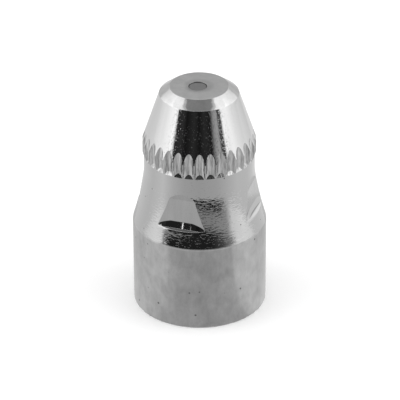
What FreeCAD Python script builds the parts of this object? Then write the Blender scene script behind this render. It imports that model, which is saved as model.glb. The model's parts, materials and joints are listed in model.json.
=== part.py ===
import FreeCAD, Part
import math
import os

import Sketcher

# Plasma torch electrode: a turned and nickel plated copper body with a hafnium pin in its tip.
# The frame is the electrode's own: millimetres, +Z up along its axis from the seat face to the tip,
# with the origin at the centre of the seat face.

SIZES = (
    # base and shoulder
    ("base_diameter", 12.0, "outside of the cylinder that the seat face ends"),
    ("base_length", 8.07, "seat face to the corner of the shoulder"),
    ("base_edge_break", 0.1, "chamfer round the seat face"),
    ("shoulder_round", 1.0, "radius that softens the corner of the shoulder"),
    # flare and neck
    ("flare_length", 5.03, "corner of the shoulder to the foot of the neck"),
    ("flare_radius", 28.5, "hollow curve of the flare, seen from the side"),
    ("waist_step", 1.065, "base's outside to the plain neck's outside"),
    ("neck_length", 1.55, "foot of the neck to the fluted ring"),
    ("neck_round", 6.0, "radius that blends the flare into the neck"),
    # fluted ring
    ("ring_rise", 0.125, "neck's outside to the lands between the flutes"),
    ("ring_taper_length", 0.45, "back taper from the neck to the full ring"),
    ("ring_land_length", 0.97, "full diameter of the ring, up to the nose cone"),
    ("flute_total", 32, "flutes round the ring"),
    ("flute_depth", 0.32, "ring's outside to the bottom of a flute"),
    ("land_width", 0.077, "what is left of the ring between two flutes"),
    ("flute_runout_angle", 30.0, "steepness of the flutes' lower ends, from the axis"),
    ("flute_turn", 7.45, "first flute, turned from the X axis"),
    # nose
    ("nose_length", 4.585, "ring to the tip's chamfer"),
    ("nose_diameter", 7.06, "small end of the nose cone"),
    ("tip_chamfer_length", 0.655, "height of the chamfer round the tip face"),
    ("tip_diameter", 5.22, "flat tip face"),
    # wrench flats
    ("flat_total", 4, "wrench flats round the flare"),
    ("flat_step", 0.91, "base's outside to the foot of a flat"),
    ("flat_rise", 1.62, "shoulder corner to the inner corner of the flat's ledge"),
    ("ledge_fall_angle", 6.5, "slope of the ledge, down towards the outside"),
    ("flat_heel_rise", 0.5, "ledge to the top of the steeper heel at the flat's foot"),
    ("flat_heel_width", 0.13, "how far the heel stands out from the flat at the ledge"),
    ("flat_length", 2.76, "ledge to the run-out of the flat"),
    ("flat_lean_angle", 4.3, "lean of a flat towards the axis, upwards from its ledge"),
    ("flat_runout_angle", 7.6, "slope of the run-out, away from the axis"),
    # inside
    ("thread_bore_diameter", 7.92, "plain bore of the internal thread, at its crests"),
    ("thread_length", 7.6, "seat face to the relief behind the thread"),
    ("lead_in_diameter", 9.2, "mouth of the lead-in cone"),
    ("lead_in_angle", 45.0, "slope of the lead-in cone, from the axis"),
    ("relief_depth", 0.69, "groove behind the thread, out from the thread bore"),
    ("relief_width", 1.1, "groove behind the thread"),
    ("relief_corner", 0.25, "radius in the groove's corners"),
    ("coolant_bore_diameter", 6.4, "bore that the coolant reaches the tip through"),
    ("drill_point_angle", 118.0, "cone that the drill leaves at the end of the coolant bore"),
    ("tip_wall", 1.1, "copper between the drill point and the insert"),
    # insert
    ("insert_diameter", 1.6, "hafnium pin"),
    ("insert_length", 3.0, "hafnium pin"),
    ("insert_edge_break", 0.05, "chamfer of the pin's ends and of the pocket's mouth"),
    ("insert_sink", 0.06, "tip face to the face of the pin"),
    ("insert_run_out", 0.12, "how far the pin stands off the axis"),
    ("insert_run_out_turn", 18.4, "direction of that, turned from the X axis, on its far side"),
)

# Heights over the seat face, and other lengths that follow from the sizes
BASE_RADIUS = "Sizes.base_diameter / 2"
NECK_RADIUS = f"({BASE_RADIUS} - Sizes.waist_step)"
RING_RADIUS = f"({NECK_RADIUS} + Sizes.ring_rise)"
FLAT_REACH = f"({BASE_RADIUS} - Sizes.flat_step)"
THREAD_RADIUS = "Sizes.thread_bore_diameter / 2"
RELIEF_RADIUS = f"({THREAD_RADIUS} + Sizes.relief_depth)"
COOLANT_RADIUS = "Sizes.coolant_bore_diameter / 2"
INSERT_RADIUS = "Sizes.insert_diameter / 2"

SHOULDER_Z = "Sizes.base_length"
NECK_FOOT_Z = f"{SHOULDER_Z} + Sizes.flare_length"
RING_FOOT_Z = f"{NECK_FOOT_Z} + Sizes.neck_length"
LAND_FOOT_Z = f"{RING_FOOT_Z} + Sizes.ring_taper_length"
NOSE_FOOT_Z = f"{LAND_FOOT_Z} + Sizes.ring_land_length"
CHAMFER_FOOT_Z = f"{NOSE_FOOT_Z} + Sizes.nose_length"
TIP_Z = f"{CHAMFER_FOOT_Z} + Sizes.tip_chamfer_length"
LEDGE_Z = f"{SHOULDER_Z} + Sizes.flat_rise"
FLAT_TOP_Z = f"({LEDGE_Z} + Sizes.flat_length)"
HEEL_REACH = f"({FLAT_REACH} - Sizes.flat_heel_rise * tan(Sizes.flat_lean_angle))"
FLAT_TOP_REACH = f"({FLAT_REACH} - Sizes.flat_length * tan(Sizes.flat_lean_angle))"
INSERT_FOOT_Z = f"{TIP_Z} - Sizes.insert_sink - Sizes.insert_length"
INSERT_ACROSS = "-Sizes.insert_run_out * cos(Sizes.insert_run_out_turn)"
INSERT_UP = "-Sizes.insert_run_out * sin(Sizes.insert_run_out_turn)"

# A flute is a round cutter's path whose edges leave the land between it and the next flute
FLUTE_EDGE_TURN = f"(180 / Sizes.flute_total - Sizes.land_width / {RING_RADIUS} * 90 / pi)"
FLUTE_EDGE_DEPTH = f"(Sizes.flute_depth - {RING_RADIUS} * (1 - cos({FLUTE_EDGE_TURN})))"
FLUTE_EDGE_REACH = f"({RING_RADIUS} * sin({FLUTE_EDGE_TURN}))"
FLUTE_RADIUS = f"(({FLUTE_EDGE_DEPTH} ^ 2 + {FLUTE_EDGE_REACH} ^ 2) / (2 * {FLUTE_EDGE_DEPTH}))"
FLUTE_CENTRE = f"({RING_RADIUS} - Sizes.flute_depth + {FLUTE_RADIUS})"

# The spigot that ends the flutes reaches this many times a flute's depth in from the neck
RUNOUT_OVERRUN = 1.4
RUNOUT_DEPTH = f"(Sizes.flute_depth - Sizes.ring_rise) * {RUNOUT_OVERRUN}"
RUNOUT_RADIUS = f"{NECK_RADIUS} - {RUNOUT_DEPTH}"
RUNOUT_TOP_Z = f"{RING_FOOT_Z} + {RUNOUT_DEPTH} / tan(Sizes.flute_runout_angle)"

LEAD_IN_DEPTH = f"(Sizes.lead_in_diameter / 2 - {THREAD_RADIUS}) / tan(Sizes.lead_in_angle)"
RELIEF_TOP_Z = "Sizes.thread_length + Sizes.relief_width"
DRILL_POINT_Z = f"{INSERT_FOOT_Z} - Sizes.tip_wall"
DRILL_SHOULDER_Z = f"{DRILL_POINT_Z} - {COOLANT_RADIUS} / tan(Sizes.drill_point_angle / 2)"

UP_IN_SKETCH = FreeCAD.Vector(0, 1, 0)

doc = FreeCAD.newDocument("PlasmaTorchElectrode")


def make_sheet():
    """Puts the driving dimensions into a sheet: the name, the number and what it measures."""
    sheet = doc.addObject("Spreadsheet::Sheet", "Sizes")
    for row, (name, number, meaning) in enumerate(SIZES, start=1):
        sheet.set(f"A{row}", name)
        sheet.set(f"B{row}", str(number))
        sheet.setAlias(f"B{row}", name)
        sheet.set(f"C{row}", meaning)
    doc.recompute()
    return sheet


def make_body(label):
    body = doc.addObject("PartDesign::Body", label.capitalize())
    body.Label = label
    return body


def origin_feature(body, role):
    return next(feature for feature in body.Origin.OriginFeatures if feature.Role == role)


def sketch_on(body, role, name, height=None, turned=None):
    """A sketch on one of the body's own planes, raised over it or turned about its upright axis."""
    sketch = body.newObject("Sketcher::SketchObject", name)
    sketch.AttachmentSupport = (origin_feature(body, role), [""])
    sketch.MapMode = "FlatFace"
    if height is not None:
        sketch.setExpression("AttachmentOffset.Base.z", height)
    if turned is not None:
        sketch.AttachmentOffset = FreeCAD.Placement(FreeCAD.Vector(), FreeCAD.Rotation(UP_IN_SKETCH, 1))
        sketch.setExpression("AttachmentOffset.Rotation.Angle", turned)
    return sketch


def size_of(owner, expression):
    """The number that an expression of the sheet's sizes stands for now."""
    return float(owner.evalExpression(expression))


def bind_constraint(sketch, kind, elements, name, expression):
    """Adds a dimension to the sketch and binds it to the sheet."""
    number = size_of(sketch, expression)
    index = sketch.addConstraint(Sketcher.Constraint(kind, *elements, number))
    sketch.renameConstraint(index, name)
    sketch.setExpression(f"Constraints.{name}", expression)


def hollow_arc(start, end, radius):
    """An arc between two points that curves towards the axis, for the flare."""
    chord = end - start
    middle = (start + end) * 0.5
    rise = math.sqrt(radius ** 2 - (chord.Length / 2) ** 2)
    across = FreeCAD.Vector(-chord.y, chord.x, 0).normalize()
    centre = middle - across * rise
    return Part.Arc(start, centre + across * radius, end)


def draw_outline(sketch, corners, hollows=None):
    """Draws a closed outline whose corners are held by dimensions bound to the sheet.

    corners: (name, across, up) in order, with "0" for a point on the axis or on the seat plane.
    hollows: corner name to the radius of the arc that leaves it, where the edge isn't straight.
    """
    hollows = hollows or {}
    horizontal_axis, vertical_axis = -1, -2
    points = [FreeCAD.Vector(size_of(sketch, across), size_of(sketch, up), 0) for _, across, up in corners]
    edges = []
    for index, (name, _, _) in enumerate(corners):
        start, end = points[index], points[(index + 1) % len(points)]
        if name in hollows:
            edges.append(sketch.addGeometry(hollow_arc(start, end, size_of(sketch, hollows[name]))))
        else:
            edges.append(sketch.addGeometry(Part.LineSegment(start, end)))
    # a counter-clockwise arc keeps its first point at the end of the edge that runs towards it
    first = [2 if corners[index][0] in hollows and arc_is_reversed(sketch, edges[index], points[index])
             else 1 for index in range(len(edges))]
    last = [3 - point for point in first]
    for index, (name, across, up) in enumerate(corners):
        before = index - 1
        sketch.addConstraint(
            Sketcher.Constraint("Coincident", edges[before], last[before], edges[index], first[index]))
        if across == "0":
            sketch.addConstraint(
                Sketcher.Constraint("PointOnObject", edges[index], first[index], vertical_axis))
        else:
            bind_constraint(sketch, "DistanceX", (-1, 1, edges[index], first[index]),
                            f"{name}_across", across)
        if up == "0":
            sketch.addConstraint(
                Sketcher.Constraint("PointOnObject", edges[index], first[index], horizontal_axis))
        else:
            bind_constraint(sketch, "DistanceY", (-1, 1, edges[index], first[index]), f"{name}_up", up)
        if name in hollows:
            bind_constraint(sketch, "Radius", (edges[index],), f"{name}_radius", hollows[name])


def arc_is_reversed(sketch, edge, start):
    return sketch.getPoint(edge, 1).distanceToPoint(start) > sketch.getPoint(edge, 2).distanceToPoint(start)


def turn(body, kind, name, corners, hollows=None, turned=None):
    """Turns an outline round the electrode's axis: a Revolution adds, a Groove cuts."""
    sketch = sketch_on(body, "XZ_Plane", f"{name}Outline", turned=turned)
    draw_outline(sketch, corners, hollows)
    feature = body.newObject(kind, name)
    feature.Profile = sketch
    feature.ReferenceAxis = (sketch, ["V_Axis"])
    feature.Angle = 360
    body.Tip = feature
    doc.recompute()
    return feature


def repeat_round_axis(body, name, feature, total):
    pattern = body.newObject("PartDesign::PolarPattern", name)
    pattern.Originals = [feature]
    pattern.Axis = (origin_feature(body, "Z_Axis"), [""])
    pattern.Angle = 360
    pattern.setExpression("Occurrences", total)
    body.Tip = pattern
    doc.recompute()
    return pattern


def circle_edges(shape, expected):
    """Names of the shape's full circles that have one of the expected radii and heights."""
    names = []
    for index, edge in enumerate(shape.Edges, start=1):
        if not isinstance(edge.Curve, Part.Circle):
            continue
        centre, radius = edge.Curve.Center, edge.Curve.Radius
        for wanted_radius, wanted_height in expected:
            if abs(radius - wanted_radius) < 1e-4 and abs(centre.z - wanted_height) < 1e-4:
                names.append(f"Edge{index}")
    return names


def soften(body, kind, name, corner, amount):
    """Rounds or breaks the round corner at (radius, height) by an amount from the sheet."""
    base = body.Tip
    wanted = [tuple(size_of(base, expression) for expression in corner)]
    feature = body.newObject(kind, name)
    feature.Base = (base, circle_edges(base.Shape, wanted))
    feature.setExpression("Radius" if kind == "PartDesign::Fillet" else "Size", amount)
    body.Tip = feature
    doc.recompute()
    return feature


def cut_upwards(body, name, sketch):
    pocket = body.newObject("PartDesign::Pocket", name)
    pocket.Profile = sketch
    pocket.Type = "ThroughAll"
    pocket.Reversed = True
    body.Tip = pocket
    doc.recompute()
    return pocket


def make_nose(body):
    """The blank of the fluted ring and the nose cone, before its flutes are cut.

    Its outline stands in the middle of a flute, so that the turned faces' seam splits no land.
    """
    turn(body, "PartDesign::Revolution", "Nose", (
        ("ring_axis", "0", RING_FOOT_Z),
        ("ring_foot", NECK_RADIUS, RING_FOOT_Z),
        ("land_foot", RING_RADIUS, LAND_FOOT_Z),
        ("nose_foot", RING_RADIUS, NOSE_FOOT_Z),
        ("chamfer_foot", "Sizes.nose_diameter / 2", CHAMFER_FOOT_Z),
        ("tip_edge", "Sizes.tip_diameter / 2", TIP_Z),
        ("tip_axis", "0", TIP_Z),
    ), turned="Sizes.flute_turn")


def cut_flutes(body):
    """Round-bottomed flutes along the axis, which run out on the slope of the nose cone."""
    sketch = sketch_on(body, "XY_Plane", "FluteSection")
    across = f"{FLUTE_CENTRE} * cos(Sizes.flute_turn)"
    up = f"{FLUTE_CENTRE} * sin(Sizes.flute_turn)"
    centre = FreeCAD.Vector(size_of(sketch, across), size_of(sketch, up), 0)
    circle = sketch.addGeometry(
        Part.Circle(centre, FreeCAD.Vector(0, 0, 1), size_of(sketch, FLUTE_RADIUS)))
    bind_constraint(sketch, "DistanceX", (-1, 1, circle, 3), "flute_across", across)
    bind_constraint(sketch, "DistanceY", (-1, 1, circle, 3), "flute_up", up)
    bind_constraint(sketch, "Radius", (circle,), "flute_radius", FLUTE_RADIUS)
    flute = cut_upwards(body, "Flute", sketch)
    repeat_round_axis(body, "Flutes", flute, "Sizes.flute_total")


def make_shank(body):
    """Base, shoulder, flare and neck, with the coned spigot that ends the flutes.

    Its outline stands midway between two wrench flats, in the middle of a land, so that the turned
    faces' seam splits neither a flat nor a flute's end.
    """
    seam_turn = "180 / Sizes.flat_total - 180 / Sizes.flute_total + Sizes.flute_turn"
    turn(body, "PartDesign::Revolution", "Shank", (
        ("seat_axis", "0", "0"),
        ("seat_edge", BASE_RADIUS, "0"),
        ("shoulder", BASE_RADIUS, SHOULDER_Z),
        ("neck_foot", NECK_RADIUS, NECK_FOOT_Z),
        ("neck_top", NECK_RADIUS, RING_FOOT_Z),
        ("spigot_edge", RUNOUT_RADIUS, RUNOUT_TOP_Z),
        ("spigot_axis", "0", RUNOUT_TOP_Z),
    ), hollows={"shoulder": "Sizes.flare_radius"}, turned=seam_turn)
    soften(body, "PartDesign::Fillet", "ShoulderRound", (BASE_RADIUS, SHOULDER_Z), "Sizes.shoulder_round")
    soften(body, "PartDesign::Fillet", "NeckRound", (NECK_RADIUS, NECK_FOOT_Z), "Sizes.neck_round")
    soften(body, "PartDesign::Chamfer", "SeatEdgeBreak", (BASE_RADIUS, "0"), "Sizes.base_edge_break")


def cut_wrench_flats(body):
    """Flats milled into the flare: each rises from its ledge over a heel and runs out at the neck."""
    sketch = sketch_on(body, "XZ_Plane", "FlatSection")
    cutter_edge = f"{BASE_RADIUS} + Sizes.base_edge_break"
    heel_fall = "Sizes.flat_heel_width * tan(Sizes.ledge_fall_angle)"
    fall = f"({cutter_edge} - {FLAT_REACH}) * tan(Sizes.ledge_fall_angle)"
    runout_rise = f"({RING_FOOT_Z} - {FLAT_TOP_Z}) * tan(Sizes.flat_runout_angle)"
    draw_outline(sketch, (
        ("ledge_inner", f"{FLAT_REACH} + Sizes.flat_heel_width", f"{LEDGE_Z} - {heel_fall}"),
        ("ledge_outer", cutter_edge, f"{LEDGE_Z} - {fall}"),
        ("cutter_outer", cutter_edge, RING_FOOT_Z),
        ("cutter_inner", f"{FLAT_TOP_REACH} + {runout_rise}", RING_FOOT_Z),
        ("flat_top", FLAT_TOP_REACH, FLAT_TOP_Z),
        ("heel_top", HEEL_REACH, f"{LEDGE_Z} + Sizes.flat_heel_rise"),
    ))
    pocket = body.newObject("PartDesign::Pocket", "WrenchFlat")
    pocket.Profile = sketch
    pocket.SideType = "Symmetric"
    pocket.setExpression("Length", "Sizes.base_diameter")
    body.Tip = pocket
    doc.recompute()
    repeat_round_axis(body, "WrenchFlats", pocket, "Sizes.flat_total")


def bore_inside(body):
    """One turned outline from the seat: lead-in, thread bore, relief, coolant bore, drill point."""
    turn(body, "PartDesign::Groove", "Interior", (
        ("mouth_axis", "0", "0"),
        ("mouth_edge", "Sizes.lead_in_diameter / 2", "0"),
        ("thread_foot", THREAD_RADIUS, LEAD_IN_DEPTH),
        ("thread_top", THREAD_RADIUS, "Sizes.thread_length"),
        ("relief_foot", RELIEF_RADIUS, "Sizes.thread_length"),
        ("relief_top", RELIEF_RADIUS, RELIEF_TOP_Z),
        ("coolant_foot", COOLANT_RADIUS, RELIEF_TOP_Z),
        ("drill_shoulder", COOLANT_RADIUS, DRILL_SHOULDER_Z),
        ("drill_point", "0", DRILL_POINT_Z),
    ))
    for name, height in (("ReliefFootCorner", "Sizes.thread_length"), ("ReliefTopCorner", RELIEF_TOP_Z)):
        soften(body, "PartDesign::Fillet", name, (RELIEF_RADIUS, height), "Sizes.relief_corner")


def draw_pin_circle(sketch, across, up):
    """The pin's round section, with its centre at bound distances from the axis."""
    centre = FreeCAD.Vector(size_of(sketch, across), size_of(sketch, up), 0)
    circle = sketch.addGeometry(
        Part.Circle(centre, FreeCAD.Vector(0, 0, 1), size_of(sketch, INSERT_RADIUS)))
    bind_constraint(sketch, "DistanceX", (-1, 1, circle, 3), "pin_across", across)
    bind_constraint(sketch, "DistanceY", (-1, 1, circle, 3), "pin_up", up)
    bind_constraint(sketch, "Radius", (circle,), "pin_radius", INSERT_RADIUS)


def bore_insert_pocket(body):
    """The pocket of the pin, sunk flat from the tip face, with a broken edge at its mouth."""
    sketch = sketch_on(body, "XY_Plane", "PocketSection", height=TIP_Z)
    draw_pin_circle(sketch, INSERT_ACROSS, INSERT_UP)
    pocket = body.newObject("PartDesign::Pocket", "InsertPocket")
    pocket.Profile = sketch
    pocket.setExpression("Length", "Sizes.insert_sink + Sizes.insert_length")
    body.Tip = pocket
    doc.recompute()
    soften(body, "PartDesign::Chamfer", "PocketMouthBreak", (INSERT_RADIUS, TIP_Z), "Sizes.insert_edge_break")


def make_electrode_body():
    body = make_body("electrode_body")
    make_nose(body)
    cut_flutes(body)
    make_shank(body)
    cut_wrench_flats(body)
    bore_inside(body)
    bore_insert_pocket(body)
    return body


def make_hafnium_insert():
    """The emitter pin, drawn from its own foot and placed on the floor of its pocket."""
    body = make_body("hafnium_insert")
    sketch = sketch_on(body, "XY_Plane", "PinSection")
    draw_pin_circle(sketch, INSERT_ACROSS, INSERT_UP)
    pin = body.newObject("PartDesign::Pad", "Pin")
    pin.Profile = sketch
    pin.setExpression("Length", "Sizes.insert_length")
    body.Tip = pin
    doc.recompute()
    for name, height in (("PinFootBreak", "0"), ("PinFaceBreak", "Sizes.insert_length")):
        soften(body, "PartDesign::Chamfer", name, (INSERT_RADIUS, height), "Sizes.insert_edge_break")
    body.setExpression("Placement.Base.z", INSERT_FOOT_Z)
    doc.recompute()
    return body


def check_document(bodies):
    """Stops the macro if a feature failed or a body holds no single sound solid."""
    for item in doc.Objects:
        if "Invalid" in item.State or "Error" in item.State:
            raise RuntimeError(f"{item.Label} failed: {item.State}")
    for body in bodies:
        shape = body.Shape
        if shape.isNull() or not shape.isValid() or len(shape.Solids) != 1:
            raise RuntimeError(f"{body.Label} is not one sound solid")


def write_steps(bodies):
    os.makedirs("parts", exist_ok=True)
    for body in bodies:
        body.Shape.exportStep(f"parts/{body.Label}.step")
        box = body.Shape.optimalBoundingBox(True, False)
        print(f"{body.Label}: {body.Shape.Volume:.2f} mm3, {len(body.Shape.Faces)} faces, "
              f"{box.XLength:.2f} x {box.YLength:.2f} x {box.ZLength:.2f} mm, from z {box.ZMin:.3f}")


make_sheet()
all_bodies = [make_electrode_body(), make_hafnium_insert()]
doc.recompute()
check_document(all_bodies)
write_steps(all_bodies)
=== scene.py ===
import json
import logging
from collections.abc import Callable
from dataclasses import dataclass, field
from enum import Enum
from math import acos, asin, atan2, cos, pi, radians, sin, sqrt, tan

import bmesh
import bpy
from mathutils import Matrix, Vector

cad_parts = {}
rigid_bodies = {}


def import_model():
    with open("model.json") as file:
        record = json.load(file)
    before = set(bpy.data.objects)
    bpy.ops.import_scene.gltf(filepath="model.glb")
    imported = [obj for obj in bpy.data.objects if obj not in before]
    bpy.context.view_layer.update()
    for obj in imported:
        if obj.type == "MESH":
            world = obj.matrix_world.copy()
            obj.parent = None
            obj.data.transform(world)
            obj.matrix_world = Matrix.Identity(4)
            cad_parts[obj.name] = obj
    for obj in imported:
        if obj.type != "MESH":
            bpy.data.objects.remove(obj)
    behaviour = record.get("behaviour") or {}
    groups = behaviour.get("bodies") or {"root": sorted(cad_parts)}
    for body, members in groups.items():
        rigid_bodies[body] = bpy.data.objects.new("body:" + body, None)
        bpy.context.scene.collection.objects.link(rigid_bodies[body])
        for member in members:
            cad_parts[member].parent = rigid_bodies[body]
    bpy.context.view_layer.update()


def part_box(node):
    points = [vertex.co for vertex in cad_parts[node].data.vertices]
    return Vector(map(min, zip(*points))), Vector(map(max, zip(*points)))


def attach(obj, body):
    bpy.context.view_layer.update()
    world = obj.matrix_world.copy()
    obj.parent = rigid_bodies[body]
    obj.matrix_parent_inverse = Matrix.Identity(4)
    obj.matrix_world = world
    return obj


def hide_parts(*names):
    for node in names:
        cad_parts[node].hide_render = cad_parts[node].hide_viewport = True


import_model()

log = logging.getLogger("electrode")

MM = 0.001
BODY_NODE = "electrode_body"
PIN_NODE = "hafnium_insert"
MERGE_MM = 1e-4
RING_STEPS = 96

# Patterns on the plate: mm between pits and across stains, how dark a pit and the faced disc are as
# shares of the plate's colour, and how steeply a speck rises, as a share of the noise's height.
PIT_APART_MM = 1.2
STAIN_MM = 1.6
PIT_TONE = 0.3
DISC_TONE = 0.78
SPECK_EDGE = 0.15

Point = Vector
Section = list[Vector]
Socket = bpy.types.NodeSocket
Stops = tuple[tuple[float, float], ...]


class Zone(Enum):
    """The stretches of the body that were cut and plated differently; the value is the slot."""

    BASE = 0
    FLARE = 1
    FLAT = 2
    FLUTE = 3
    NOSE = 4
    CHAMFER = 5
    FACE = 6
    BORE = 7
    HEEL = 8


# Shapes


def straight(start: Point, end: Point, rows: int) -> Section:
    """Evenly spaced points from a start towards an end, without the end.

    Args:
        start: First point, (mm from the axis, mm over the seat).
        end: Point that the next stretch begins with.
        rows: Number of points.

    Returns:
        The points, the start first.
    """
    return [start.lerp(end, index / rows) for index in range(rows)]


def rounded(before: Point, corner: Point, after: Point, radius: float, rows: int) -> Section:
    """Points of an arc that rounds a corner of a section.

    Args:
        before: The section's corner before this one.
        corner: The corner to round.
        after: The section's corner after this one.
        radius: Radius in mm, made smaller where the neighbours are close.
        rows: Number of points, both ends of the arc included.

    Returns:
        The arc's points, or copies of the corner where there is no room for an arc.
    """
    back, ahead = before - corner, after - corner
    if back.length < MERGE_MM or ahead.length < MERGE_MM:
        return [corner.copy() for _ in range(rows)]
    back_way, ahead_way = back.normalized(), ahead.normalized()
    half = back_way.angle(ahead_way) / 2
    if pi / 2 - half < radians(0.5):
        reach = min(radius, back.length / 3, ahead.length / 3)
        return [(corner + back_way * reach).lerp(corner + ahead_way * reach, index / (rows - 1))
                for index in range(rows)]
    reach = min(radius / tan(half), back.length * 0.45, ahead.length * 0.45)
    inner_radius = reach * tan(half)
    centre = corner + (back_way + ahead_way).normalized() * sqrt(reach ** 2 + inner_radius ** 2)
    first, last = corner + back_way * reach - centre, corner + ahead_way * reach - centre
    sweep = first.angle_signed(last)
    points = []
    for index in range(rows):
        turn = sweep * index / (rows - 1)
        points.append(centre + Vector((first.x * cos(turn) + first.y * sin(turn),
                                       first.y * cos(turn) - first.x * sin(turn))))
    return points


def spin_sections(turns: list[float], section_at: Callable[[int], Section]) -> bmesh.types.BMesh:
    """Spins a section into a grid, then gives every column its own turn and section.

    Args:
        turns: Turn of each column about the axis, in radians, the first 0.
        section_at: Gives the section of a column, with as many points for each.

    Returns:
        A mesh in mm whose columns start along +X.
    """
    bm = bmesh.new()
    row_layer = bm.verts.layers.int.new("row")
    column = []
    for row, point in enumerate(section_at(0)):
        vertex = bm.verts.new((row + 1.0, 0.0, 0.0))
        vertex[row_layer] = row
        column.append(vertex)
    edges = [bm.edges.new(pair) for pair in zip(column, column[1:])]
    step = radians(1)
    bmesh.ops.spin(bm, geom=column + edges, cent=(0, 0, 0), axis=(0, 0, 1), dvec=(0, 0, 0),
                   angle=step * (len(turns) - 1), steps=len(turns) - 1, use_merge=False,
                   use_duplicate=False, use_normal_flip=False)
    sections = [section_at(index) for index in range(len(turns))]
    for vertex in bm.verts:
        index = round(atan2(vertex.co.y, vertex.co.x) / step)
        point = sections[index][vertex[row_layer]]
        vertex.co = (point.x * cos(turns[index]), point.x * sin(turns[index]), point.y)
    return bm


def copy_round(bm: bmesh.types.BMesh, doublings: int) -> None:
    """Fills a full turn with copies of a mesh that holds one share of it.

    Args:
        bm: Mesh of one share, centred on +X.
        doublings: The full turn holds two to this power of shares.
    """
    share = 2 * pi / 2 ** doublings
    for doubling in range(doublings):
        copies = bmesh.ops.duplicate(bm, geom=bm.verts[:] + bm.edges[:] + bm.faces[:])["geom"]
        verts = [item for item in copies if isinstance(item, bmesh.types.BMVert)]
        turn = Matrix.Rotation(share * 2 ** doubling, 3, "Z")
        bmesh.ops.rotate(bm, verts=verts, cent=(0, 0, 0), matrix=turn)
    bmesh.ops.remove_doubles(bm, verts=bm.verts, dist=MERGE_MM)


def mirror_share(bm: bmesh.types.BMesh) -> None:
    """Adds the mirror image of half a share, on the other side of +X."""
    bmesh.ops.mirror(bm, geom=bm.verts[:] + bm.edges[:] + bm.faces[:], matrix=Matrix.Identity(4),
                     merge_dist=MERGE_MM, axis="Y")


def add_mesh(target: bmesh.types.BMesh, source: bmesh.types.BMesh) -> None:
    """Puts one mesh into another and frees it.

    Args:
        target: Mesh that takes the other one.
        source: Mesh that is put in, freed afterwards.
    """
    scratch = bpy.data.meshes.new("scratch")
    source.to_mesh(scratch)
    target.from_mesh(scratch)
    bpy.data.meshes.remove(scratch)
    source.free()


def open_rim(bm: bmesh.types.BMesh, up: float, across: float) -> list[bmesh.types.BMEdge]:
    """The open edges whose points lie at one height and distance from the axis, in mm.

    Args:
        bm: Mesh with an open rim.
        up: Height of the rim.
        across: Distance of the rim from the axis.

    Returns:
        The rim's edges.
    """
    def on_rim(vertex: bmesh.types.BMVert) -> bool:
        return abs(vertex.co.z - up) < 1e-3 and abs(vertex.co.xy.length - across) < 1e-3
    return [edge for edge in bm.edges if edge.is_boundary and all(on_rim(v) for v in edge.verts)]


def finish_object(bm: bmesh.types.BMesh, name: str) -> bpy.types.Object:
    """Turns a closed mesh in mm into a smooth object in metres at the origin.

    Args:
        bm: The mesh, freed afterwards.
        name: Name of the object and its mesh.

    Returns:
        The new object, linked to the scene.
    """
    bmesh.ops.remove_doubles(bm, verts=bm.verts, dist=MERGE_MM)
    bmesh.ops.dissolve_degenerate(bm, dist=MERGE_MM / 10, edges=bm.edges)
    bmesh.ops.recalc_face_normals(bm, faces=bm.faces)
    open_edges = sum(not edge.is_manifold for edge in bm.edges)
    bmesh.ops.scale(bm, verts=bm.verts, vec=(MM, MM, MM))
    for face in bm.faces:
        face.smooth = True
    mesh = bpy.data.meshes.new(name)
    log.info("%s: %d faces, %d open edges, %.1f mm3", name, len(bm.faces), open_edges,
             bm.calc_volume() / MM ** 3)
    bm.to_mesh(mesh)
    bm.free()
    made = bpy.data.objects.new(name, mesh)
    bpy.context.scene.collection.objects.link(made)
    return made


# Materials


def srgb(code: str, alpha: float = 1.0) -> tuple[float, float, float, float]:
    """A hex colour as the linear values that a shader takes.

    Args:
        code: Colour as #RRGGBB.
        alpha: Fourth value.

    Returns:
        Linear red, green and blue, and the fourth value.
    """
    def linear(part: float) -> float:
        return part / 12.92 if part <= 0.04045 else ((part + 0.055) / 1.055) ** 2.4
    parts = [int(code[index:index + 2], 16) / 255 for index in (1, 3, 5)]
    return (*[linear(part) for part in parts], alpha)


def add_node(tree: bpy.types.NodeTree, kind: str, values: dict | None = None,
             links: dict | None = None, **settings: object) -> bpy.types.Node:
    """Adds a node with its settings, its sockets' values and its links.

    Args:
        tree: Node tree that takes the node.
        kind: Type name of the node.
        values: Input socket to value.
        links: Input socket to the output socket that feeds it.
        **settings: Properties of the node.

    Returns:
        The new node.
    """
    node = tree.nodes.new(kind)
    for name, value in settings.items():
        setattr(node, name, value)
    for socket, value in (values or {}).items():
        node.inputs[socket].default_value = value
    for socket, source in (links or {}).items():
        tree.links.new(source, node.inputs[socket])
    return node


def new_material(name: str) -> tuple[bpy.types.Material, bpy.types.NodeTree]:
    """An empty node material and its tree.

    Args:
        name: Name of the material.

    Returns:
        The material and its tree.
    """
    material = bpy.data.materials.new(name)
    material.use_nodes = True
    material.node_tree.nodes.clear()
    return material, material.node_tree


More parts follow.
